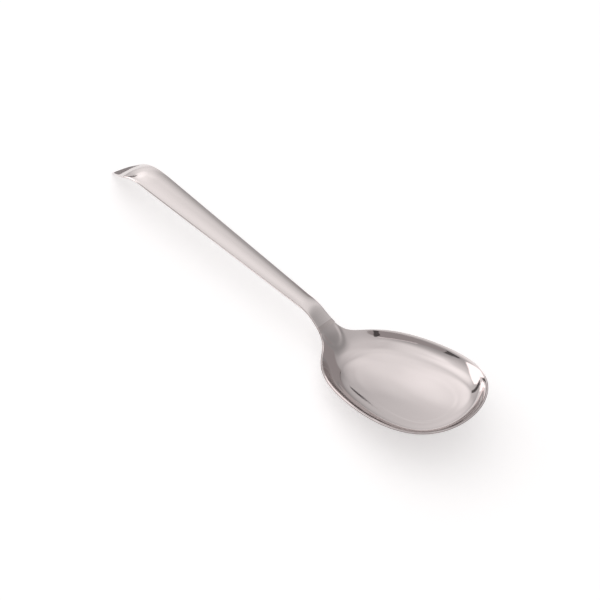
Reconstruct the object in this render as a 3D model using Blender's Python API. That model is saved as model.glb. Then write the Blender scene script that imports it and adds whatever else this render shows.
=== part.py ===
"""Pizza sauce spoon: a drawn steel bowl, butt-welded at the neck to a tapered strip handle with a hook.

The spoon is worked out level, in its own frame: the middle of the bowl at X = 0, its tip towards +X, its
rim at Z = 0. An empty then tips it back onto what it rests on, the heel of the bowl and the hook's end.
All lengths are in metres.
"""
import math

import bmesh
import bpy
import numpy as np

# Bowl: an egg-shaped dish with a flat floor, a curved corner and a straight sloping wall
BOWL_LENGTH = 0.1016
BOWL_WIDTH = 0.0720
BOWL_DEPTH = 0.0109
TIP_DROP = 0.0020          # how much lower the rim lies at the tip than at the sides
BOWL_WALL = 0.0015
WALL_SLOPE = math.radians(50.0)
FLOOR_BEND = 0.0220        # length of the curve between the flat floor and the straight wall
NOSE_FULLNESS = 0.135      # how far the widest place moves towards the tip
END_FULLNESS = 0.20        # how blunt both ends of the egg are

# Neck: the wall runs on upwards behind the bowl, eases off a little, then bends over into the handle
NECK_WIDTH = 0.0106
NECK_THICKNESS = 0.0030
NECK_SLOPE = math.radians(42.8)
NECK_EASE = 0.0080         # length over which the wall's slope eases to the neck's
NECK_RUN = 0.0180          # length from the rim to the bend
NECK_BEND = 0.0150         # length of the bend
SHOULDER_BLEND = 0.0050    # softness of the inside corners where the rim runs into the neck

# Weld across the neck, ground flush with the steel on both sides of it
WELD_SETBACK = 0.0090      # from the rim, along the neck
WELD_LENGTH = 0.0022
JOINT_GAP = 0.0003

# Handle: a strip that widens towards the hook, crowned on top
HANDLE_WIDTH = 0.0182
HANDLE_THICKNESS = 0.0025
HANDLE_EDGE = 0.0016
HANDLE_CROWN = 0.0013      # how much lower its long edges lie than its middle
HANDLE_SLOPE = math.radians(14.8)
HANDLE_RUN = 0.1248        # straight length from the neck bend to the hook

# Hook: the end of the strip, bent down and drawn in to a rounded point
HOOK_BEND = 0.0340
HOOK_TURN = math.radians(43.0)
HOOK_TAIL = 0.0170
END_TAPER = 0.0278         # length over which the end draws in
END_NARROWING = 0.63       # 0 gives a half ellipse, more gives a finer point

# Fineness of the faces
COLUMNS = 19
EDGE_STEPS = 3
CAP_ROWS = 9
BOWL_STEP = 0.0035
NECK_STEP = 0.0018
HANDLE_STEP = 0.0050
PROFILE_STEP = 0.00005
RING_POINTS = 181

HOOK_START = NECK_RUN + NECK_BEND + HANDLE_RUN
HANDLE_END = HOOK_START + HOOK_BEND + HOOK_TAIL
BOWL_REACH = BOWL_LENGTH / 2


def smooth_step(share):
    """A share from 0 to 1 that starts and stops gently."""
    share = np.clip(share, 0.0, 1.0)
    return share * share * (3.0 - 2.0 * share)


def axis_profile():
    """Top surface along the spoon's middle: length along it, distance behind the rim, and height."""
    share = np.linspace(0.0, 1.0, 400)
    bend_rise = FLOOR_BEND * np.mean(np.sin(WALL_SLOPE * smooth_step(share)))
    wall_run = (BOWL_DEPTH - bend_rise) / math.sin(WALL_SLOPE)
    floor_edge = -wall_run - FLOOR_BEND
    arc = np.arange(floor_edge - BOWL_LENGTH, HANDLE_END + BOWL_LENGTH, PROFILE_STEP)
    slope = WALL_SLOPE * smooth_step((arc - floor_edge) / FLOOR_BEND)
    slope += (NECK_SLOPE - WALL_SLOPE) * smooth_step(arc / NECK_EASE)
    slope += (HANDLE_SLOPE - NECK_SLOPE) * smooth_step((arc - NECK_RUN) / NECK_BEND)
    slope -= HOOK_TURN * smooth_step((arc - HOOK_START) / HOOK_BEND)
    behind = np.cumsum(np.cos(slope)) * PROFILE_STEP
    height = np.cumsum(np.sin(slope)) * PROFILE_STEP
    behind -= np.interp(0.0, arc, behind)
    height -= np.interp(0.0, arc, height)
    return arc, behind, height


PROFILE_ARC, PROFILE_BEHIND, PROFILE_HEIGHT = axis_profile()


def egg_factor(share):
    """Widening of the egg against an ellipse; the share runs from -1 at the back to 1 at the tip."""
    return 1.0 + NOSE_FULLNESS * share + END_FULLNESS * share * share


def level_ring():
    """Half of the outline where the wall reaches rim height, and its half width at the middle.

    It is the rim's outline at the sides, and runs past the tip, where the wall is cut off lower.
    """
    turn = np.linspace(0.0, math.pi, RING_POINTS)
    along = np.cos(turn)
    swell = np.sin(turn) * egg_factor(along)
    middle = BOWL_WIDTH / 2 / swell.max()
    past_tip = TIP_DROP / math.tan(WALL_SLOPE) * np.maximum(along, 0.0) ** 3
    return BOWL_REACH * along + past_tip, middle * swell, middle


RING_X, RING_Y, EGG_MIDDLE = level_ring()


def rim_distance(x, y):
    """Distance outside the level outline, negative inside it."""
    side = np.abs(y)
    step_x = np.diff(RING_X)
    step_y = np.diff(RING_Y)
    away_x = x[..., None] - RING_X[:-1]
    away_y = side[..., None] - RING_Y[:-1]
    share = (away_x * step_x + away_y * step_y) / (step_x ** 2 + step_y ** 2)
    share = np.clip(share, 0.0, 1.0)
    nearest = np.hypot(away_x - share * step_x, away_y - share * step_y).min(axis=-1)
    half = np.interp(x, RING_X[::-1], RING_Y[::-1], left=0.0, right=0.0)
    return np.where(side < half, -nearest, nearest)


def arc_at(x):
    """Length along the middle, from the rim backwards, at a place x."""
    return np.interp(-BOWL_REACH - x, PROFILE_BEHIND, PROFILE_ARC)


def place_at(arc):
    """The place x at a length along the middle."""
    return -BOWL_REACH - np.interp(arc, PROFILE_ARC, PROFILE_BEHIND)


def strip_half(arc):
    """Half width of the neck and handle strip."""
    share = np.clip((arc - NECK_RUN) / (HOOK_START - NECK_RUN), 0.0, 1.0)
    return (NECK_WIDTH + (HANDLE_WIDTH - NECK_WIDTH) * share) / 2


def edge_thickness(arc):
    """Thickness at the rim and along the strip's edges."""
    return BOWL_WALL + (HANDLE_EDGE - BOWL_WALL) * smooth_step(arc / NECK_RUN)


def middle_thickness(arc):
    """Thickness along the middle: thickest in the neck, thinner down the handle."""
    neck = (NECK_THICKNESS - BOWL_WALL) * smooth_step(arc / NECK_RUN)
    handle = (HANDLE_THICKNESS - NECK_THICKNESS) * smooth_step((arc - NECK_RUN) / HANDLE_RUN)
    return BOWL_WALL + neck + handle


def outline_half(x):
    """Half width of the plan where its top face ends: egg and strip, run together in soft shoulders."""
    arc = arc_at(x)
    inset = edge_thickness(arc) / 2
    strip = strip_half(arc)
    low = np.zeros_like(x)
    high = np.full_like(x, BOWL_WIDTH)
    for _ in range(40):
        side = (low + high) / 2
        in_egg = np.exp(-(rim_distance(x, side) + inset) / SHOULDER_BLEND)
        in_strip = np.exp(-(side - strip + inset) / SHOULDER_BLEND)
        inside = in_egg + in_strip > 1.0
        low = np.where(inside, side, low)
        high = np.where(inside, high, side)
    return (low + high) / 2


def top_height(x, y):
    """Height of the top surface: the middle's profile carried round the bowl, crowned on the handle."""
    arc = arc_at(x)
    crown = HANDLE_CROWN * smooth_step((arc - NECK_RUN) / NECK_BEND)
    return np.interp(rim_distance(x, y), PROFILE_BEHIND, PROFILE_HEIGHT) - crown * (y / strip_half(arc)) ** 2


def top_normal(x, y):
    """Upward unit normals of the top surface."""
    step = PROFILE_STEP
    slope_x = (top_height(x + step, y) - top_height(x - step, y)) / (2 * step)
    slope_y = (top_height(x, y + step) - top_height(x, y - step)) / (2 * step)
    normal = np.stack([-slope_x, -slope_y, np.ones_like(x)], axis=-1)
    return normal / np.linalg.norm(normal, axis=-1, keepdims=True)


def station_rows(places):
    """Plan rows straight across the spoon: x, y, and how far each point is from the middle, 0 to 1."""
    column = np.linspace(-1.0, 1.0, COLUMNS + 1)
    x = np.repeat(places[:, None], COLUMNS + 1, axis=1)
    y = outline_half(places)[:, None] * column
    return x, y, np.broadcast_to(np.abs(column), x.shape)


def half_disc():
    """Rows of a half disc without a pole: its straight side first, its rounded end last."""
    row = np.linspace(0.0, 1.0, CAP_ROWS + 1)[1:, None]
    column = np.linspace(-1.0, 1.0, COLUMNS + 1)[None, :]
    along = row * np.sqrt(1.0 - column ** 2 / 2)
    across = column * np.sqrt(1.0 - row ** 2 / 2)
    return along, across


def bowl_rows():
    """Plan of the bowl from the cut in its neck to its tip."""
    cut = place_at(WELD_SETBACK - JOINT_GAP)
    neck = np.linspace(cut, -BOWL_REACH, math.ceil((-BOWL_REACH - cut) / NECK_STEP) + 1)
    back = np.linspace(-BOWL_REACH, 0.0, math.ceil(BOWL_REACH / BOWL_STEP) + 1)
    x, y, out = station_rows(np.concatenate([neck, back[1:]]))
    along, across = half_disc()
    inset = BOWL_WALL / 2
    cap_x = along * (BOWL_REACH - inset)
    cap_y = across * (EGG_MIDDLE * egg_factor(along) - inset)
    return np.vstack([x, cap_x]), np.vstack([y, cap_y]), np.vstack([out, np.hypot(along, across)])


def weld_rows():
    """Plan of the weld seam."""
    arcs = np.linspace(WELD_SETBACK, WELD_SETBACK + WELD_LENGTH, 3)
    return station_rows(place_at(arcs))


def handle_rows():
    """Plan of the handle from the cut in its neck to the end of the hook."""
    cut = WELD_SETBACK + WELD_LENGTH + JOINT_GAP
    neck_end = NECK_RUN + NECK_BEND
    end_start = HANDLE_END - END_TAPER
    neck = np.linspace(cut, neck_end, math.ceil((neck_end - cut) / NECK_STEP) + 1)
    strip = np.linspace(neck_end, end_start, math.ceil((end_start - neck_end) / HANDLE_STEP) + 1)
    x, y, out = station_rows(place_at(np.concatenate([neck, strip[1:]])))
    along, across = half_disc()
    inset = HANDLE_EDGE / 2
    arc = end_start + along * (END_TAPER - inset)
    cap_y = across * (strip_half(arc) - inset) * (1.0 - END_NARROWING * along ** 2)
    return np.vstack([x, place_at(arc)]), np.vstack([y, cap_y]), np.vstack([out, np.hypot(along, across)])


def edge_path(grid, tipped):
    """The grid points along the free edge, as pairs: up one side, round the tip, down the other side."""
    rows, columns = grid.shape
    left = [(row, 0) for row in range(rows)]
    right = [(row, columns - 1) for row in range(rows)]
    if tipped:
        tip = [(rows - 1, column) for column in range(1, columns - 1)]
        return [left + tip + right[::-1]]
    return [left, right]


def edge_rings(top, normal, thick, path):
    """Points of the rounded free edge, from the top face round to the underside."""
    rows = np.array([pair[0] for pair in path])
    columns = np.array([pair[1] for pair in path])
    here = top[rows, columns]
    up = normal[rows, columns]
    radius = thick[rows, columns][:, None] / 2
    run = np.gradient(here, axis=0)
    out = np.cross(run, up)
    out /= np.linalg.norm(out, axis=1, keepdims=True)
    inner_rows = np.minimum(rows, top.shape[0] - 2)
    inner_columns = np.clip(columns, 1, top.shape[1] - 2)
    outward = here - top[inner_rows, inner_columns]
    out *= np.sign(np.sum(out * outward, axis=1, keepdims=True))
    rings = []
    for step in range(1, EDGE_STEPS + 1):
        turn = math.pi * step / (EDGE_STEPS + 1)
        rings.append(here - radius * up + radius * (math.cos(turn) * up + math.sin(turn) * out))
    return rings


def solid_from_plan(name, rows, tipped):
    """A closed sheet of steel over plan rows; it is cut square at its first row, and at its last if not tipped."""
    x, y, out = rows
    arc = arc_at(x)
    top = np.stack([x, y, top_height(x, y)], axis=-1)
    normal = top_normal(x, y)
    thick = edge_thickness(arc) + (middle_thickness(arc) - edge_thickness(arc)) * (1.0 - out ** 2)
    bottom = top - thick[..., None] * normal

    mesh = bmesh.new()
    upper = [[mesh.verts.new(point) for point in row] for row in top]
    lower = [[mesh.verts.new(point) for point in row] for row in bottom]
    for row in range(len(upper) - 1):
        for column in range(COLUMNS):
            for sheet in (upper, lower):
                mesh.faces.new((sheet[row][column], sheet[row + 1][column],
                                sheet[row + 1][column + 1], sheet[row][column + 1]))

    ends = []
    for path in edge_path(x, tipped):
        bands = [[upper[row][column] for row, column in path]]
        for ring in edge_rings(top, normal, thick, path):
            bands.append([mesh.verts.new(point) for point in ring])
        bands.append([lower[row][column] for row, column in path])
        for band, following in zip(bands, bands[1:]):
            for place in range(len(path) - 1):
                mesh.faces.new((band[place], band[place + 1], following[place + 1], following[place]))
        ends.append([band[0] for band in bands])
        ends.append([band[-1] for band in bands])

    cut_rows = [0] if tipped else [0, len(upper) - 1]
    for row in cut_rows:
        for column in range(COLUMNS):
            mesh.faces.new((upper[row][column], upper[row][column + 1],
                            lower[row][column + 1], lower[row][column]))
    for end in ends:
        mesh.faces.new(end)

    bmesh.ops.recalc_face_normals(mesh, faces=mesh.faces)
    data = bpy.data.meshes.new(name)
    mesh.to_mesh(data)
    mesh.free()
    data.shade_smooth()
    data.set_sharp_from_angle(angle=math.radians(40.0))
    piece = bpy.data.objects.new(name, data)
    bpy.context.scene.collection.objects.link(piece)
    return piece


def steel(name, colour, roughness):
    """Stainless steel in one finish."""
    material = bpy.data.materials.new(name)
    material.use_nodes = True
    shader = material.node_tree.nodes["Principled BSDF"]
    shader.inputs["Base Color"].default_value = (*colour, 1.0)
    shader.inputs["Metallic"].default_value = 1.0
    shader.inputs["Roughness"].default_value = roughness
    return material


def mass_points(pieces):
    """All corner points of the pieces and their common centre of mass."""
    points = []
    volume = 0.0
    moment = np.zeros(3)
    for piece in pieces:
        piece.data.calc_loop_triangles()
        corners = np.array([vertex.co for vertex in piece.data.vertices])
        triangles = corners[[list(triangle.vertices) for triangle in piece.data.loop_triangles]]
        share = np.einsum("ij,ij->i", triangles[:, 0], np.cross(triangles[:, 1], triangles[:, 2])) / 6
        volume += share.sum()
        moment += (share[:, None] * triangles.sum(axis=1) / 4).sum(axis=0)
        points.append(corners)
    return np.vstack(points), moment / volume


def resting_turn(points, centre):
    """Turn about Y that sets down the two lowest places on either side of the centre of mass."""
    side = sorted({(round(point[0], 7), round(point[2], 7)) for point in points})
    hull = []
    for place in side:
        while len(hull) > 1 and ((hull[-1][0] - hull[-2][0]) * (place[1] - hull[-2][1])
                                 <= (hull[-1][1] - hull[-2][1]) * (place[0] - hull[-2][0])):
            hull.pop()
        hull.append(place)
    turn = 0.0
    longest = 0.0
    for start, stop in zip(hull, hull[1:]):
        span = np.subtract(stop, start)
        length = np.linalg.norm(span)
        share = np.dot(np.array([centre[0], centre[2]]) - start, span) / length ** 2
        if 0.0 < share < 1.0 and length > longest:
            longest = length
            turn = math.atan2(span[1], span[0])
    return turn


def set_down(pieces):
    """Tip the spoon back to rest, with the middle of its footprint at the origin."""
    points, centre = mass_points(pieces)
    turn = resting_turn(points, centre)
    x = points[:, 0] * math.cos(turn) + points[:, 2] * math.sin(turn)
    z = points[:, 2] * math.cos(turn) - points[:, 0] * math.sin(turn)
    rest = bpy.data.objects.new("rest", None)
    rest.rotation_euler = (0.0, turn, 0.0)
    rest.location = (-(x.min() + x.max()) / 2, 0.0, -z.min())
    bpy.context.scene.collection.objects.link(rest)
    for piece in pieces:
        piece.parent = rest


def build():
    for item in list(bpy.data.objects):
        bpy.data.objects.remove(item, do_unlink=True)
    bowl = solid_from_plan("bowl", bowl_rows(), tipped=True)
    weld = solid_from_plan("neck_weld", weld_rows(), tipped=False)
    handle = solid_from_plan("handle", handle_rows(), tipped=True)
    bowl.data.materials.append(steel("polished_steel", (0.68, 0.64, 0.63), 0.08))
    weld.data.materials.append(steel("ground_weld", (0.60, 0.57, 0.56), 0.30))
    handle.data.materials.append(steel("satin_steel", (0.70, 0.66, 0.65), 0.22))
    set_down([bowl, weld, handle])
    bpy.context.view_layer.update()


build()
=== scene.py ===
"""Looks of the pizza sauce spoon: polished bowl, ground neck weld and satin strip handle in a plain studio.

All lengths are in metres. Shapes are worked out in the spoon's own level frame, with the middle of the bowl at
X = 0 and its tip towards +X, and then tipped back to where the spoon rests.
"""
import math

import bpy
import numpy as np
from mathutils import Matrix, Vector


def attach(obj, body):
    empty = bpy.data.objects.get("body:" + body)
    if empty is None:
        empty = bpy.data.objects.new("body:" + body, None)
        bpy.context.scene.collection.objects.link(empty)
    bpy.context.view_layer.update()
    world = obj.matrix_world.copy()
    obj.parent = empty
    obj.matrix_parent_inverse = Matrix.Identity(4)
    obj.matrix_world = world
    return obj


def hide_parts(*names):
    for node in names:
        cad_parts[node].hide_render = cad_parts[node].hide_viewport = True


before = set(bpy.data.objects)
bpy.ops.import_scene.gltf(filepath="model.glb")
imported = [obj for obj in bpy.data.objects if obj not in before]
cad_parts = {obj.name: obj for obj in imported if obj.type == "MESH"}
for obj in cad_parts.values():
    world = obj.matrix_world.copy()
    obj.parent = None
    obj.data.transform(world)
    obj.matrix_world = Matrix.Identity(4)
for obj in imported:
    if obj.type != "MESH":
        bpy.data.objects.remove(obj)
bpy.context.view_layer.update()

# Bowl: an egg-shaped dish with a flat floor, a curved corner and a straight sloping wall
BOWL_LENGTH = 0.1016
BOWL_WIDTH = 0.0720
BOWL_DEPTH = 0.0109
TIP_DROP = 0.0020
BOWL_WALL = 0.0015
WALL_SLOPE = math.radians(50.0)
FLOOR_BEND = 0.0220
NOSE_FULLNESS = 0.135
END_FULLNESS = 0.20

# Inside of the bowl: a slight dish over the flat floor
DISH_HEIGHT = 0.0020
DISH_LENGTH = 0.0360
DISH_WIDTH = 0.0200
DISH_FADE = 0.0160

# The faint line that the press leaves round the floor, from about the middle to the tip
MARK_HEIGHT = 0.00009
MARK_INSET = 0.0175
MARK_WIDTH = 0.0009
MARK_START = -0.0080
MARK_FADE = 0.0160

# A shallow band inside the rim, along both sides
BAND_WIDTH = 0.0042
BAND_FALL = 0.0028
BAND_DEPTH = 0.0004
BAND_REACH = 0.0450
BAND_FADE = 0.0150

# A low bead on the back wall, round the end of the handle's tongue
BEAD_HEIGHT = 0.00026
BEAD_WIDTH = 0.0009
TONGUE_REACH = 0.0030
TONGUE_HALF = 0.0056

# The rolled inner corner of the rim, on the far side
ROLL_WIDTH = 0.0011
ROLL_DROP = 0.00035
ROLL_FADE = 0.0200

# Neck, weld and handle: one strip that rises out of the bowl, runs back and ends in a hook
NECK_WIDTH = 0.0106
NECK_THICKNESS = 0.0030
NECK_SLOPE = math.radians(42.8)
NECK_EASE = 0.0080
NECK_RUN = 0.0180
NECK_BEND = 0.0150
SHOULDER_BLEND = 0.0050
WELD_SETBACK = 0.0090
WELD_LENGTH = 0.0022
JOINT_GAP = 0.0003
HANDLE_WIDTH = 0.0182
HANDLE_THICKNESS = 0.0025
HANDLE_EDGE = 0.0016
HANDLE_CROWN = 0.0013
HANDLE_SLOPE = math.radians(14.8)
HANDLE_RUN = 0.1248
HOOK_BEND = 0.0340
HOOK_TURN = math.radians(43.0)
HOOK_TAIL = 0.0170
END_TAPER = 0.0278
EDGE_ROLL = 0.10
END_EDGE = 0.0007
END_LOWERED = 0.60
END_SHARPNESS = 1.7
END_POINT = 1.3
END_FLAT = 0.2

HOOK_START = NECK_RUN + NECK_BEND + HANDLE_RUN
HANDLE_END = HOOK_START + HOOK_BEND + HOOK_TAIL
BOWL_REACH = BOWL_LENGTH / 2

# Rest: the turn about Y and the shift that set the level spoon down on its heel and hook. The shift is
# 5 microns higher than the solids' own, because the finer heel here reaches a little lower than their facets.
REST_TURN = math.radians(-13.7269)
REST_SHIFT = (0.0981404, 0.0, 0.0203880)

# Fineness of the faces and of the sums behind them
COLUMNS = 128
CAP_ROWS = 72
EDGE_CROWDING = 0.6
BOWL_STEP = 0.0008
NECK_STEP = 0.0005
EDGE_STEPS = 9
STATIONS = 420
SECTION_POINTS = 96
PROFILE_STEP = 0.00002
RING_POINTS = 241
WELD_STATIONS = 9
LOOP_RADIUS = 0.001
BEND_SAMPLES = 400
NEAREST_ROUNDS = 8
NEAREST_STEP = 0.02
OUTLINE_ROUNDS = 40
SLOPE_STEP = 0.0001
SHARP_ANGLE = math.radians(50.0)
TINY = 1e-9

# A cubic curve whose handles are two thirds of the thickness bulges by half of it, as a half-round edge does
EDGE_PULL = 2 / 3

# Steel finishes: the noise of the grinding lines and of the smears, and the span of their sum
MM = 0.001
GRIND_NOISE = {"Scale": 1.0, "Detail": 3.0, "Roughness": 0.6}
TOUCH_NOISE = {"Detail": 4.0, "Roughness": 0.55}
NOISE_SPAN = (0.6, 1.4)

# Studio: floor, soft lights as azimuth, elevation and spread in degrees and strength, over an even base
FLOOR_REACH = 60.0
FLOOR_LIFT = 0.36
STUDIO_BASE = 0.36
STUDIO_LIGHTS = (
    (0, 90, 85, 0.36),
    (0, 90, 50, 0.20),
    (180, 25, 45, 0.40),
    (120, 55, 32, 0.10),
    (150, 50, 24, 0.12),
    (210, 35, 32, 0.28),
    (240, 55, 24, 0.08),
    (150, 35, 18, 0.17),
    (140, 10, 24, 0.45),
    (155, 30, 12, 0.34),
    (135, 35, 12, 0.19),
    (140, 10, 12, 0.10),
    (190, 35, 18, 0.30),
    (35, 8, 26, 0.45),
    (48, 45, 25, -0.17),
)

# Cards that show only in the steel: brightness, distance from the middle of the bowl, and corners as
# azimuth and elevation in degrees
STUDIO_MIDDLE = (0.098, 0.0, 0.015)
CARDS = (
    ("window", 2.0, 1.15,
     ((193, -1.2), (222, -1.2), (221, 14), (212, 16), (203, 20), (192, 21.5), (184, 18), (186, 8))),
    ("window_post", 0.12, 1.10,
     ((188, -1.5), (193, -1.5), (185, 7), (178, 14), (167, 24), (163, 23), (172, 12), (180, 3))),
    ("table_gleam", 2.0, 0.088, ((173, -9.3), (157, -9.3), (157, 1), (173, 1))),
    ("window_frame", 0.12, 0.90, ((223, 10), (233, 12), (233, 21), (224, 19))),
    ("shelf_edge", 0.08, 1.20,
     ((129.4, 19.3), (131, 18.6), (132.6, 19.5), (132.6, 20.6), (131, 21.1), (129.4, 20.3))),
    ("left_gap", 0.42, 1.25, ((60, 5), (121, 5), (122, 30), (60, 30))),
    ("gap_edge", 0.10, 1.22, ((112, 7), (119, 7), (121, 28), (115, 28))),
    ("dark_side", 0.44, 1.30,
     ((300, 50), (279, 48.5), (254, 37.5), (244, 28), (234, 19), (228, 11), (228, 3), (330, 3), (330, 50))),
    ("side_lip", 1.20, 1.28,
     ((300, 52), (279, 50.5), (254, 39.5), (244, 30), (244, 28.5), (254, 38), (279, 49), (300, 50.5))),
    ("front_card", 2.0, 1.10, ((236, 2), (312, 2), (312, 18), (246, 18), (236, 10))),
    ("photographer", 0.10, 1.20, ((281, 40), (293, 40), (296, 51), (291, 54), (285, 50))),
)

# A dark flag laid on the floor behind the hook, so that its pale end stands out from the white
HOOK_FLAG_BRIGHTNESS = 0.30
HOOK_FLAG = ((-0.1500, 0.0015, 0.0003), (-0.172, 0.009, 0.0003), (-0.188, 0.026, 0.0003),
             (-0.170, 0.036, 0.0003), (-0.146, 0.012, 0.0003))

# Camera of the photograph, a square picture
CAMERA_PLACE = (0.446945, -0.498629, 0.716480)
CAMERA_AIM = (-0.446309, 0.519735, -0.728481)
CAMERA_RIGHT = (0.705078, 0.705527, 0.071388)
CAMERA_LENS = 99.0
CAMERA_SENSOR = 36.0
CAMERA_CLIP = 0.01


def smooth_step(share):
    """A share from 0 to 1 that starts and stops gently."""
    share = np.clip(share, 0.0, 1.0)
    return share * share * (3.0 - 2.0 * share)


def axis_profile():
    """Top surface along the spoon's middle: length along it, distance behind the rim, height and slope."""
    share = np.linspace(0.0, 1.0, BEND_SAMPLES)
    bend_rise = FLOOR_BEND * np.mean(np.sin(WALL_SLOPE * smooth_step(share)))
    wall_run = (BOWL_DEPTH - bend_rise) / math.sin(WALL_SLOPE)
    floor_edge = -wall_run - FLOOR_BEND
    arc = np.arange(floor_edge - BOWL_LENGTH, HANDLE_END + BOWL_LENGTH, PROFILE_STEP)
    slope = WALL_SLOPE * smooth_step((arc - floor_edge) / FLOOR_BEND)
    slope += (NECK_SLOPE - WALL_SLOPE) * smooth_step(arc / NECK_EASE)
    slope += (HANDLE_SLOPE - NECK_SLOPE) * smooth_step((arc - NECK_RUN) / NECK_BEND)
    slope -= HOOK_TURN * smooth_step((arc - HOOK_START) / HOOK_BEND)
    behind = np.cumsum(np.cos(slope)) * PROFILE_STEP
    height = np.cumsum(np.sin(slope)) * PROFILE_STEP
    behind -= np.interp(0.0, arc, behind)
    height -= np.interp(0.0, arc, height)
    return arc, behind, height, slope


PROFILE_ARC, PROFILE_BEHIND, PROFILE_HEIGHT, PROFILE_SLOPE = axis_profile()


def egg_factor(share):
    """Widening of the egg against an ellipse; the share runs from -1 at the back to 1 at the tip."""
    return 1.0 + NOSE_FULLNESS * share + END_FULLNESS * share * share


RING_TURN = np.linspace(0.0, math.pi, RING_POINTS)
EGG_MIDDLE = BOWL_WIDTH / 2 / (np.sin(RING_TURN) * egg_factor(np.cos(RING_TURN))).max()
PAST_TIP = TIP_DROP / math.tan(WALL_SLOPE)


def level_curve(turn):
    """Point, first and second derivative of the outline where the wall reaches rim height."""
    c = np.cos(turn)
    s = np.sin(turn)
    front = np.maximum(c, 0.0)
    x = BOWL_REACH * c + PAST_TIP * front ** 3
    x1 = -s * (BOWL_REACH + 3 * PAST_TIP * front ** 2)
    x2 = -c * (BOWL_REACH + 3 * PAST_TIP * front ** 2) + 6 * PAST_TIP * s * s * front
    egg = egg_factor(c)
    egg1 = -s * (NOSE_FULLNESS + 2 * END_FULLNESS * c)
    egg2 = -c * (NOSE_FULLNESS + 2 * END_FULLNESS * c) + 2 * END_FULLNESS * s * s
    y = EGG_MIDDLE * s * egg
    y1 = EGG_MIDDLE * (c * egg + s * egg1)
    y2 = EGG_MIDDLE * (-s * egg + 2 * c * egg1 + s * egg2)
    return x, y, x1, y1, x2, y2


def rim_distance(x, y):
    """Distance outside the level outline, negative inside it."""
    side = np.abs(y)
    ring_x, ring_y = level_curve(RING_TURN)[:2]
    away = (x[..., None] - ring_x) ** 2 + (side[..., None] - ring_y) ** 2
    turn = RING_TURN[np.argmin(away, axis=-1)]
    for _ in range(NEAREST_ROUNDS):
        ring_x, ring_y, x1, y1, x2, y2 = level_curve(turn)
        gap = (ring_x - x) * x1 + (ring_y - side) * y1
        bend = x1 * x1 + y1 * y1 + (ring_x - x) * x2 + (ring_y - side) * y2
        step = gap / np.where(np.abs(bend) > TINY, bend, TINY)
        turn = np.clip(turn - np.clip(step, -NEAREST_STEP, NEAREST_STEP), 0.0, math.pi)
    ring_x, ring_y, x1, y1 = level_curve(turn)[:4]
    outside = (x - ring_x) * y1 - (side - ring_y) * x1
    return np.where(outside > 0.0, 1.0, -1.0) * np.hypot(x - ring_x, side - ring_y)


def arc_at(x):
    """Length along the middle, from the rim backwards, at a place x."""
    return np.interp(-BOWL_REACH - x, PROFILE_BEHIND, PROFILE_ARC)


def place_at(arc):
    """The place x at a length along the middle."""
    return -BOWL_REACH - np.interp(arc, PROFILE_ARC, PROFILE_BEHIND)


def strip_half(arc):
    """Half width of the neck and handle strip."""
    share = np.clip((arc - NECK_RUN) / (HOOK_START - NECK_RUN), 0.0, 1.0)
    return (NECK_WIDTH + (HANDLE_WIDTH - NECK_WIDTH) * share) / 2


def edge_thickness(arc):
    """Thickness at the rim and along the strip's edges."""
    return BOWL_WALL + (HANDLE_EDGE - BOWL_WALL) * smooth_step(arc / NECK_RUN)


def middle_thickness(arc):
    """Thickness along the middle: thickest in the neck, thinner down the handle."""
    neck = (NECK_THICKNESS - BOWL_WALL) * smooth_step(arc / NECK_RUN)
    handle = (HANDLE_THICKNESS - NECK_THICKNESS) * smooth_step((arc - NECK_RUN) / HANDLE_RUN)
    return BOWL_WALL + neck + handle


def crown_height(arc):
    """How much lower the strip's long edges lie than its middle."""
    return HANDLE_CROWN * smooth_step((arc - NECK_RUN) / NECK_BEND)


def outline_half(x):
    """Half width of the plan where its top face ends: egg and strip, run together in soft shoulders."""
    arc = arc_at(x)
    inset = edge_thickness(arc) / 2
    strip = strip_half(arc)
    low = np.zeros_like(x)
    high = np.full_like(x, BOWL_WIDTH)
    for _ in range(OUTLINE_ROUNDS):
        side = (low + high) / 2
        in_egg = np.exp(-(rim_distance(x, side) + inset) / SHOULDER_BLEND)
        in_strip = np.exp(-(side - strip + inset) / SHOULDER_BLEND)
        inside = in_egg + in_strip > 1.0
        low = np.where(inside, side, low)
        high = np.where(inside, high, side)
    return (low + high) / 2


def top_height(x, y):
    """Height of the top surface: the middle's profile carried round the bowl, crowned on the handle."""
    arc = arc_at(x)
    crown = crown_height(arc) * (y / strip_half(arc)) ** 2
    return np.interp(rim_distance(x, y), PROFILE_BEHIND, PROFILE_HEIGHT) - crown


def unit(vectors):
    """The vectors at length 1."""
    return vectors / np.linalg.norm(vectors, axis=-1, keepdims=True)


def top_normal(x, y):
    """Upward unit normals of the top surface."""
    slope_x = (top_height(x + SLOPE_STEP, y) - top_height(x - SLOPE_STEP, y)) / (2 * SLOPE_STEP)
    slope_y = (top_height(x, y + SLOPE_STEP) - top_height(x, y - SLOPE_STEP)) / (2 * SLOPE_STEP)
    return unit(np.stack([-slope_x, -slope_y, np.ones_like(x)], axis=-1))


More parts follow.
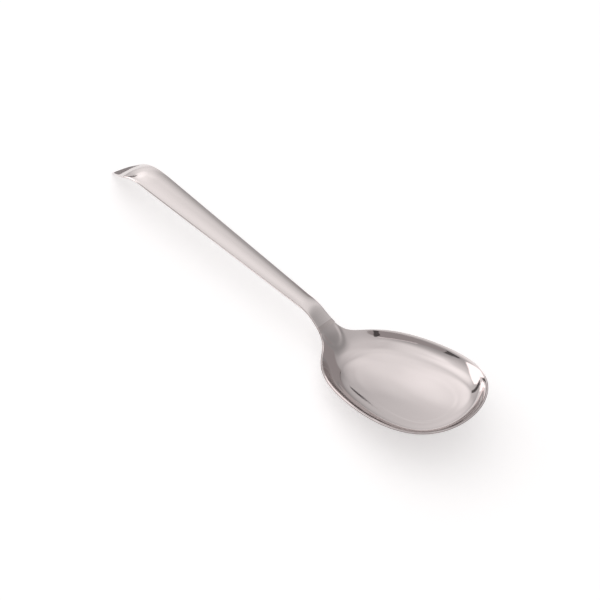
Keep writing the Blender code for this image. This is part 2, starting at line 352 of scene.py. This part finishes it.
def inside_lift(x, y):
    """How far the bowl's inside stands above the plain sheet: dish, press line, bead and rim band."""
    inward = -rim_distance(x, y)
    dish = np.tanh((x / DISH_LENGTH) ** 2 + (y / DISH_WIDTH) ** 2)
    dish = DISH_HEIGHT * dish * smooth_step((inward - BOWL_WALL) / DISH_FADE)
    mark = np.exp(-((inward - MARK_INSET) / MARK_WIDTH) ** 2)
    mark = MARK_HEIGHT * mark * smooth_step((x - MARK_START) / MARK_FADE)
    mark *= smooth_step((DISH_WIDTH - y) / DISH_WIDTH)
    past_end = np.maximum(x + BOWL_REACH - TONGUE_REACH + TONGUE_HALF, 0.0)
    bead = np.exp(-((np.hypot(past_end, y) - TONGUE_HALF) / BEAD_WIDTH) ** 2)
    bead = BEAD_HEIGHT * bead * smooth_step((WELD_SETBACK - JOINT_GAP - arc_at(x)) / TONGUE_HALF)
    band = smooth_step(inward / BAND_WIDTH) * (1.0 - smooth_step((inward - BAND_WIDTH) / BAND_FALL))
    band *= smooth_step((x + BAND_REACH) / BAND_FADE) * smooth_step((BAND_FADE - x) / BAND_FADE)
    return dish + mark + bead - BAND_DEPTH * band


def rim_share(x, y):
    """How much of the rolled edge there is: all on the far side, none on the near side and at the neck."""
    return smooth_step((x + BAND_REACH) / BAND_FADE) * smooth_step((y + ROLL_FADE) / ROLL_FADE)


def rim_roll(x, y, out):
    """How far the inner corner of the rim is rolled down."""
    from_rim = (1.0 - out) * BOWL_WIDTH / 2
    return ROLL_DROP * rim_share(x, y) * np.clip(1.0 - from_rim / ROLL_WIDTH, 0.0, 1.0) ** 2


def crowded(share):
    """Shares from -1 to 1, set closer together towards the ends."""
    return (1.0 - EDGE_CROWDING) * share + EDGE_CROWDING * np.sin(math.pi / 2 * share)


def bowl_plan():
    """Rows of the bowl's plan from the cut in its neck to its tip, and each point's share of the way out."""
    cut = place_at(WELD_SETBACK - JOINT_GAP)
    neck = np.linspace(cut, -BOWL_REACH, math.ceil((-BOWL_REACH - cut) / NECK_STEP) + 1)
    back = np.linspace(-BOWL_REACH, 0.0, math.ceil(BOWL_REACH / BOWL_STEP) + 1)
    places = np.concatenate([neck, back[1:]])
    column = crowded(np.linspace(-1.0, 1.0, COLUMNS + 1))[None, :]
    x = np.repeat(places[:, None], COLUMNS + 1, axis=1)
    y = outline_half(places)[:, None] * column
    out = np.broadcast_to(np.abs(column), x.shape)
    row = crowded(np.linspace(0.0, 1.0, CAP_ROWS + 1))[1:, None]
    along = row * np.sqrt(1.0 - column ** 2 / 2)
    across = column * np.sqrt(1.0 - row ** 2 / 2)
    inset = BOWL_WALL / 2
    cap_x = along * (BOWL_REACH - inset)
    cap_y = across * (EGG_MIDDLE * egg_factor(along) - inset)
    return np.vstack([x, cap_x]), np.vstack([y, cap_y]), np.vstack([out, np.hypot(along, across)])


def bowl_mesh():
    """The closed sheet of the bowl: top face, underside, rounded free edge, and the square cut in the neck."""
    x, y, out = bowl_plan()
    arc = arc_at(x)
    top = np.stack([x, y, top_height(x, y)], axis=-1)
    normal = top_normal(x, y)
    thick = edge_thickness(arc) + (middle_thickness(arc) - edge_thickness(arc)) * (1.0 - out ** 2)
    bottom = top - thick[..., None] * normal
    top[..., 2] += inside_lift(x, y) - rim_roll(x, y, out)
    rows, columns = x.shape

    path = [(row, 0) for row in range(rows)]
    path += [(rows - 1, column) for column in range(1, columns - 1)]
    path += [(row, columns - 1) for row in range(rows - 1, -1, -1)]
    at_row = np.array([place[0] for place in path])
    at_column = np.array([place[1] for place in path])
    here = top[at_row, at_column]
    under = bottom[at_row, at_column]
    up = normal[at_row, at_column]
    along = np.gradient(here, axis=0)
    outward = unit(np.cross(up, along))
    ease = 2 * ROLL_DROP / ROLL_WIDTH * rim_share(x[at_row, at_column], y[at_row, at_column])[:, None]
    rolled = np.hstack([up[:, :2] / up[:, 2:] + ease * unit(outward[:, :2]), np.ones((len(path), 1))])
    reach = EDGE_PULL * np.linalg.norm(here - under, axis=1, keepdims=True)
    over = here + reach * unit(np.cross(rolled, along))
    back = under + reach * outward
    rings = []
    for step in range(1, EDGE_STEPS + 1):
        share = step / (EDGE_STEPS + 1)
        left = 1.0 - share
        rings.append(left ** 3 * here + 3 * left ** 2 * share * over
                     + 3 * left * share ** 2 * back + share ** 3 * under)

    points = np.vstack([top.reshape(-1, 3), bottom.reshape(-1, 3)] + rings)
    upper = np.arange(rows * columns).reshape(rows, columns)
    lower = upper + rows * columns
    bands = [upper[at_row, at_column]]
    for step in range(EDGE_STEPS):
        bands.append(2 * rows * columns + step * len(path) + np.arange(len(path)))
    bands.append(lower[at_row, at_column])

    above = np.stack([upper[:-1, :-1], upper[1:, :-1], upper[1:, 1:], upper[:-1, 1:]], axis=-1)
    below = np.stack([lower[:-1, :-1], lower[:-1, 1:], lower[1:, 1:], lower[1:, :-1]], axis=-1)
    faces = above.reshape(-1, 4).tolist() + below.reshape(-1, 4).tolist()
    for band, following in zip(bands, bands[1:]):
        faces += np.stack([band[:-1], following[:-1], following[1:], band[1:]], axis=-1).tolist()
    start = [int(band[0]) for band in bands]
    stop = [int(band[-1]) for band in bands]
    faces.append(upper[0].tolist() + stop[1:-1] + lower[0, ::-1].tolist() + start[-2:0:-1])
    return points, faces


def piece_from(name, points, faces):
    """A named piece made of given points and faces."""
    mesh = bpy.data.meshes.new(name)
    mesh.from_pydata(points.tolist(), [], faces)
    piece = bpy.data.objects.new(name, mesh)
    bpy.context.scene.collection.objects.link(piece)
    return piece


def set_down(piece):
    """Tips a piece's mesh back to where the spoon rests and shades it smooth, with crisp cut edges."""
    piece.data.transform(Matrix.Translation(REST_SHIFT) @ Matrix.Rotation(REST_TURN, 4, "Y"))
    piece.data.shade_smooth()
    piece.data.set_sharp_from_angle(angle=SHARP_ANGLE)
    piece.data.update()


def node(tree, kind, inputs=None, **settings):
    """Adds a node with its settings; inputs are values or the sockets that feed them, by name or number."""
    made = tree.nodes.new(kind)
    for key, value in settings.items():
        setattr(made, key, value)
    for key, value in (inputs or {}).items():
        if isinstance(value, bpy.types.NodeSocket):
            tree.links.new(value, made.inputs[key])
        else:
            made.inputs[key].default_value = value
    return made


# Strip: its sizes, the shares of them that its middle line carries, and the sums that place a point of its
# section. The section's turn is negative, so that the faces of the sweep point outwards.
STRIP_SIZES = {"Half Width": HANDLE_WIDTH / 2, "Edge Thickness": HANDLE_EDGE,
               "Middle Thickness": NECK_THICKNESS, "Crown": HANDLE_CROWN, "Edge Roll": EDGE_ROLL}
STRIP_SHARES = ("flat_share", "strip_share", "edge_share", "middle_share", "crown_share", "hollow_share",
                "slope", "section_turn")
STRIP_SUMS = (
    ("flat", "MULTIPLY", "flat_share", "Half Width"),
    ("strip", "MULTIPLY", "strip_share", "Half Width"),
    ("edge", "MULTIPLY", "edge_share", "Edge Thickness"),
    ("middle", "MULTIPLY", "middle_share", "Middle Thickness"),
    ("crown", "MULTIPLY", "crown_share", "Crown"),
    ("radius", "MULTIPLY", "edge", 0.5),
    ("angle", "MULTIPLY", "section_turn", -2 * math.pi),
    ("around", "COSINE", "angle"),
    ("reach", "ADD", "flat", "radius"),
    ("side", "MULTIPLY", "around", "reach"),
    ("out", "ABSOLUTE", "side"),
    ("beyond", "SUBTRACT", "out", "flat"),
    ("past", "MAXIMUM", "beyond", 0.0),
    ("past_share", "DIVIDE", "past", "radius"),
    ("past_square", "MULTIPLY", "past_share", "past_share"),
    ("left_square", "SUBTRACT", 1.0, "past_square"),
    ("left_over", "MAXIMUM", "left_square", 0.0),
    ("rounding", "SQRT", "left_over"),
    ("within", "MINIMUM", "out", "flat"),
    ("flat_safe", "MAXIMUM", "flat", 1e-7),
    ("within_share", "DIVIDE", "within", "flat_safe"),
    ("within_square", "MULTIPLY", "within_share", "within_share"),
    ("to_edge", "SUBTRACT", "edge", "middle"),
    ("thinner", "MULTIPLY", "to_edge", "within_square"),
    ("thick", "ADD", "middle", "thinner"),
    ("half_thick", "MULTIPLY", "thick", 0.5),
    ("out_share", "DIVIDE", "out", "strip"),
    ("out_square", "MULTIPLY", "out_share", "out_share"),
    ("out_fourth", "MULTIPLY", "out_square", "out_square"),
    ("out_eighth", "MULTIPLY", "out_fourth", "out_fourth"),
    ("rolled", "SUBTRACT", "out_eighth", "out_square"),
    ("rolled_share", "MULTIPLY", "rolled", "Edge Roll"),
    ("crown_form", "ADD", "out_square", "rolled_share"),
    ("sunk_edge", "MULTIPLY", "crown", "crown_form"),
    ("hollow", "MULTIPLY", "hollow_share", "Crown"),
    ("raised_edge", "MULTIPLY", "hollow", "out_square"),
    ("sunk", "SUBTRACT", "sunk_edge", "raised_edge"),
    ("turn_side", "SINE", "angle"),
    ("face_side", "SIGN", "turn_side"),
    ("face_reach", "MULTIPLY", "half_thick", "rounding"),
    ("face", "MULTIPLY", "face_side", "face_reach"),
    ("core", "ADD", "half_thick", "sunk"),
    ("lift", "SUBTRACT", "face", "core"),
    ("slope_sine", "SINE", "slope"),
    ("slope_cosine", "COSINE", "slope"),
    ("lift_x", "MULTIPLY", "lift", "slope_sine"),
    ("lift_z", "MULTIPLY", "lift", "slope_cosine"),
)


def strip_tree():
    """Geometry Nodes that sweep the strip's crowned section along its middle line.

    The inputs are the strip's sizes. Each point of the line carries its slope and its shares of those sizes.
    The section is a closed loop: a flat part, crowned across, with a half-round edge on each side.
    """
    tree = bpy.data.node_groups.new("strip_along_line", "GeometryNodeTree")
    socket = tree.interface.new_socket
    socket("Middle Line", in_out="INPUT", socket_type="NodeSocketGeometry")
    socket("Section Points", in_out="INPUT", socket_type="NodeSocketInt")
    socket("Finish", in_out="INPUT", socket_type="NodeSocketMaterial")
    for size in STRIP_SIZES:
        socket(size, in_out="INPUT", socket_type="NodeSocketFloat")
    socket("Strip", in_out="OUTPUT", socket_type="NodeSocketGeometry")
    given = node(tree, "NodeGroupInput").outputs

    line = node(tree, "GeometryNodeMeshToCurve", {"Mesh": given["Middle Line"]})
    place = node(tree, "GeometryNodeInputPosition").outputs[0]
    kept = node(tree, "GeometryNodeStoreNamedAttribute",
                {"Geometry": line.outputs[0], "Name": "middle_place", "Value": place}, data_type="FLOAT_VECTOR")
    loop = node(tree, "GeometryNodeCurvePrimitiveCircle",
                {"Resolution": given["Section Points"], "Radius": LOOP_RADIUS})
    index = node(tree, "GeometryNodeInputIndex").outputs[0]
    share = node(tree, "ShaderNodeMath", {0: index, 1: given["Section Points"]}, operation="DIVIDE").outputs[0]
    turned = node(tree, "GeometryNodeStoreNamedAttribute",
                  {"Geometry": loop.outputs[0], "Name": "section_turn", "Value": share}, data_type="FLOAT")
    swept = node(tree, "GeometryNodeCurveToMesh",
                 {"Curve": kept.outputs[0], "Profile Curve": turned.outputs[0], "Fill Caps": True})

    values = {size: given[size] for size in STRIP_SIZES}
    for name in STRIP_SHARES:
        carried = node(tree, "GeometryNodeInputNamedAttribute", {"Name": name}, data_type="FLOAT")
        values[name] = carried.outputs[0]
    for name, operation, *terms in STRIP_SUMS:
        fed = {place: values.get(term, term) for place, term in enumerate(terms)}
        values[name] = node(tree, "ShaderNodeMath", fed, operation=operation).outputs[0]
    offset = node(tree, "ShaderNodeCombineXYZ",
                  {"X": values["lift_x"], "Y": values["side"], "Z": values["lift_z"]})
    middle_place = node(tree, "GeometryNodeInputNamedAttribute", {"Name": "middle_place"},
                        data_type="FLOAT_VECTOR")
    where = node(tree, "ShaderNodeVectorMath", {0: middle_place.outputs[0], 1: offset.outputs[0]},
                 operation="ADD")
    shaped = node(tree, "GeometryNodeSetPosition", {"Geometry": swept.outputs[0], "Position": where.outputs[0]})
    real = node(tree, "GeometryNodeRealizeInstances", {"Geometry": shaped.outputs[0]})
    finished = node(tree, "GeometryNodeSetMaterial", {"Geometry": real.outputs[0], "Material": given["Finish"]})
    node(tree, "NodeGroupOutput", {"Strip": finished.outputs[0]})
    return tree


def strip_piece(name, tree, arcs, finish):
    """One piece of the strip: its middle line with the sizes at each point, swept into a plain mesh."""
    x = place_at(arcs)
    height = np.interp(arcs, PROFILE_ARC, PROFILE_HEIGHT)
    slope = np.interp(arcs, PROFILE_ARC, PROFILE_SLOPE)
    strip = strip_half(arcs)
    edge = edge_thickness(arcs)
    taper = np.clip((arcs - (HANDLE_END - END_TAPER)) / (END_TAPER - END_EDGE / 2), 0.0, 1.0)
    flat = outline_half(x) * (1.0 - taper ** END_SHARPNESS) ** END_POINT
    middle = edge + (middle_thickness(arcs) - edge) * (1.0 - taper ** 2)
    thinned = 1.0 - (1.0 - END_EDGE / HANDLE_EDGE) * taper ** 2
    last = np.clip((arcs - (HANDLE_END - END_EDGE / 2)) / (END_EDGE / 2), 0.0, 1.0)
    closing = np.sqrt(np.maximum(1.0 - last ** 2, END_FLAT ** 2))
    lowered = middle * (1.0 - thinned) * END_LOWERED + middle * thinned * (1.0 - closing) / 2
    hollow = np.interp(rim_distance(x, strip), PROFILE_BEHIND, PROFILE_HEIGHT) - height
    shares = {
        "slope": slope,
        "flat_share": flat / STRIP_SIZES["Half Width"],
        "strip_share": strip / STRIP_SIZES["Half Width"],
        "edge_share": edge * thinned * closing / STRIP_SIZES["Edge Thickness"],
        "middle_share": middle * thinned * closing / STRIP_SIZES["Middle Thickness"],
        "crown_share": crown_height(arcs) / STRIP_SIZES["Crown"],
        "hollow_share": hollow / STRIP_SIZES["Crown"],
    }
    points = np.stack([x - lowered * np.sin(slope), np.zeros_like(x), height - lowered * np.cos(slope)],
                      axis=-1)
    line = bpy.data.meshes.new(name + "_line")
    line.from_pydata(points.tolist(), [(i, i + 1) for i in range(len(arcs) - 1)], [])
    for key, values in shares.items():
        line.attributes.new(key, "FLOAT", "POINT").data.foreach_set("value", values.astype(np.float32))
    maker = bpy.data.objects.new(name + "_line", line)
    bpy.context.scene.collection.objects.link(maker)
    sweep = maker.modifiers.new("sweep", "NODES")
    sweep.node_group = tree
    wanted = {"Section Points": SECTION_POINTS, "Finish": finish, **STRIP_SIZES}
    for item in tree.interface.items_tree:
        if item.in_out == "INPUT" and item.name in wanted:
            sweep[item.identifier] = wanted[item.name]
    ready = maker.evaluated_get(bpy.context.evaluated_depsgraph_get())
    mesh = bpy.data.meshes.new_from_object(ready)
    mesh.name = name
    bpy.data.objects.remove(maker)
    for attribute in list(mesh.attributes):
        if not attribute.is_required and not attribute.is_internal and attribute.name != "material_index":
            mesh.attributes.remove(attribute)
    piece = bpy.data.objects.new(name, mesh)
    bpy.context.scene.collection.objects.link(piece)
    return piece


def colour(code):
    """Linear colour, with full alpha, of an sRGB hex value."""
    parts = [int(code[i:i + 2], 16) / 255 for i in (1, 3, 5)]
    return (*[p / 12.92 if p <= 0.04045 else ((p + 0.055) / 1.055) ** 2.4 for p in parts], 1.0)


def steel(name, tone, worn_tone, rough, rough_spread, line_mm, depth_mm, smear_mm):
    """Stainless steel: fine grinding lines along the piece, soft smears of touch, and a faint change of tone.

    line_mm is the size of a grinding line along X, Y and Z, depth_mm its depth, smear_mm the width of a smear.
    """
    material = bpy.data.materials.new(name)
    material.use_nodes = True
    tree = material.node_tree
    shader = tree.nodes["Principled BSDF"]
    shader.inputs["Metallic"].default_value = 1.0
    where = node(tree, "ShaderNodeTexCoord").outputs["Object"]
    run = node(tree, "ShaderNodeMapping", {"Vector": where, "Scale": [1.0 / (size * MM) for size in line_mm]})
    grind = node(tree, "ShaderNodeTexNoise", {"Vector": run.outputs[0], **GRIND_NOISE})
    touch = node(tree, "ShaderNodeTexNoise", {"Vector": where, "Scale": 1.0 / (smear_mm * MM), **TOUCH_NOISE})
    tint = node(tree, "ShaderNodeMix", {"Factor": touch.outputs["Fac"], 6: colour(tone), 7: colour(worn_tone)},
                data_type="RGBA")
    tree.links.new(tint.outputs[2], shader.inputs["Base Color"])
    both = node(tree, "ShaderNodeMath", {0: grind.outputs["Fac"], 1: touch.outputs["Fac"]}, operation="ADD")
    dull = node(tree, "ShaderNodeMapRange",
                {"Value": both.outputs[0], "From Min": NOISE_SPAN[0], "From Max": NOISE_SPAN[1],
                 "To Min": rough - rough_spread, "To Max": rough + rough_spread})
    tree.links.new(dull.outputs[0], shader.inputs["Roughness"])
    bump = node(tree, "ShaderNodeBump",
                {"Height": grind.outputs["Fac"], "Strength": 1.0, "Distance": depth_mm * MM})
    tree.links.new(bump.outputs[0], shader.inputs["Normal"])
    return material


# Drawn bowl, buffed to a mirror: clear reflections, a hint of haze where it has been wiped. The buffing lines
# are hundredths of a millimetre wide, too fine to show, so they are drawn 1.1 mm wide.
polished_steel = steel("polished_stainless_steel", "#CEC8C7", "#CAC3C2", 0.06, 0.015,
                       (16.667, 1.1111, 16.667), 0.0004, 20.0)
# Strip handle, belt-ground along its length and buffed: soft reflections drawn out across the lines. The lines
# are under a tenth of a millimetre wide, too fine to show, so they are drawn 0.31 mm wide.
satin_steel = steel("satin_stainless_steel", "#DFD9D8", "#DBD5D3", 0.12, 0.03,
                    (40.0, 0.3125, 40.0), 0.0030, 30.0)
# Weld ground flush with a small wheel: duller, with lines across the neck, drawn 0.4 mm wide so that they show
ground_steel = steel("ground_stainless_weld", "#CEC7C5", "#C8C0BE", 0.19, 0.05,
                     (0.4, 16.667, 0.4), 0.0030, 6.0)


def floor_finish():
    """Pale matt paper: white to the eye and in the steel, with the spoon's soft shadow kept."""
    material = bpy.data.materials.new("matt_white_paper")
    material.use_nodes = True
    tree = material.node_tree
    tree.nodes.clear()
    paper = node(tree, "ShaderNodeBsdfDiffuse", {"Color": colour("#F0F0F0")})
    rays = node(tree, "ShaderNodeLightPath").outputs
    seen = node(tree, "ShaderNodeMath", {0: rays["Is Camera Ray"], 1: rays["Is Glossy Ray"]},
                operation="MAXIMUM")
    shown = node(tree, "ShaderNodeMath", {0: seen.outputs[0], 1: rays["Is Transmission Ray"]},
                 operation="MAXIMUM")
    lift = node(tree, "ShaderNodeMath", {0: shown.outputs[0], 1: FLOOR_LIFT}, operation="MULTIPLY")
    glow = node(tree, "ShaderNodeEmission", {"Color": colour("#FFFFFF"), "Strength": lift.outputs[0]})
    both = node(tree, "ShaderNodeAddShader", {0: paper.outputs[0], 1: glow.outputs[0]})
    node(tree, "ShaderNodeOutputMaterial", {"Surface": both.outputs[0]})
    return material


def direction(azimuth, elevation):
    """Unit vector towards a direction in degrees."""
    around = math.radians(azimuth)
    above = math.radians(elevation)
    return Vector((math.cos(above) * math.cos(around), math.cos(above) * math.sin(around), math.sin(above)))


def card(name, brightness, points):
    """A studio card, bright or dark, with its corners at given points; it shows only in the steel."""
    mesh = bpy.data.meshes.new(name)
    mesh.from_pydata([tuple(point) for point in points], [], [tuple(range(len(points)))])
    material = bpy.data.materials.new(name)
    material.use_nodes = True
    material.node_tree.nodes.clear()
    glow = node(material.node_tree, "ShaderNodeEmission", {"Color": colour("#FFF6F6"), "Strength": brightness})
    node(material.node_tree, "ShaderNodeOutputMaterial", {"Surface": glow.outputs[0]})
    mesh.materials.append(material)
    made = bpy.data.objects.new(name, mesh)
    made.visible_camera = False
    made.visible_diffuse = False
    made.visible_shadow = False
    bpy.context.scene.collection.objects.link(made)


def studio_world():
    """A pale studio: an even base, a soft ceiling, and soft lights given by direction, spread and strength."""
    world = bpy.data.worlds.new("studio")
    world.use_nodes = True
    tree = world.node_tree
    back = tree.nodes["Background"]
    back.inputs["Color"].default_value = colour("#FFFCFC")
    where = node(tree, "ShaderNodeTexCoord").outputs["Generated"]
    total = STUDIO_BASE
    for azimuth, elevation, spread, strength in STUDIO_LIGHTS:
        facing = node(tree, "ShaderNodeVectorMath", {0: where, 1: direction(azimuth, elevation)},
                      operation="DOT_PRODUCT")
        share = node(tree, "ShaderNodeMapRange",
                     {"Value": facing.outputs["Value"], "From Min": math.cos(math.radians(spread)),
                      "From Max": 1.0, "To Min": 0.0, "To Max": strength}, interpolation_type="SMOOTHSTEP")
        total = node(tree, "ShaderNodeMath", {0: total, 1: share.outputs[0]}, operation="ADD").outputs[0]
    tree.links.new(total, back.inputs["Strength"])
    return world


bowl = piece_from("bowl_polished", *bowl_mesh())
bowl.data.materials.append(polished_steel)
strip = strip_tree()
weld_arcs = np.linspace(WELD_SETBACK - JOINT_GAP, WELD_SETBACK + WELD_LENGTH + JOINT_GAP, WELD_STATIONS)
weld = strip_piece("neck_weld_ground", strip, weld_arcs, ground_steel)
handle_start = WELD_SETBACK + WELD_LENGTH + JOINT_GAP
handle_share = np.sin(np.linspace(0.0, math.pi / 2, STATIONS))
handle_arcs = handle_start + (HANDLE_END - handle_start) * handle_share
handle = strip_piece("handle_satin", strip, handle_arcs, satin_steel)
for piece, replaced, slot in ((bowl, "bowl", "polished_steel"), (weld, "neck_weld", "ground_weld"),
                              (handle, "handle", "satin_steel")):
    set_down(piece)
    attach(piece, "root")
    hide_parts(replaced)

for name, brightness, distance, corners in CARDS:
    card(name, brightness, [Vector(STUDIO_MIDDLE) + direction(*corner) * distance for corner in corners])
card("hook_flag", HOOK_FLAG_BRIGHTNESS, HOOK_FLAG)

floor_mesh = bpy.data.meshes.new("floor")
floor_mesh.from_pydata([(-FLOOR_REACH, -FLOOR_REACH, 0.0), (FLOOR_REACH, -FLOOR_REACH, 0.0),
                        (FLOOR_REACH, FLOOR_REACH, 0.0), (-FLOOR_REACH, FLOOR_REACH, 0.0)], [], [(0, 1, 2, 3)])
floor_mesh.materials.append(floor_finish())
floor = bpy.data.objects.new("floor", floor_mesh)
bpy.context.scene.collection.objects.link(floor)

bpy.context.scene.world = studio_world()

camera_data = bpy.data.cameras.new("photo_camera")
camera_data.sensor_width = CAMERA_SENSOR
camera_data.lens = CAMERA_LENS
camera_data.clip_start = CAMERA_CLIP
camera = bpy.data.objects.new("photo_camera", camera_data)
aim = Vector(CAMERA_AIM).normalized()
right = Vector(CAMERA_RIGHT).normalized()
above = right.cross(aim)
camera.matrix_world = Matrix.Translation(CAMERA_PLACE) @ Matrix((right, above, -aim)).transposed().to_4x4()
bpy.context.scene.collection.objects.link(camera)
bpy.context.scene.camera = camera
bpy.context.scene.view_settings.view_transform = "Standard"
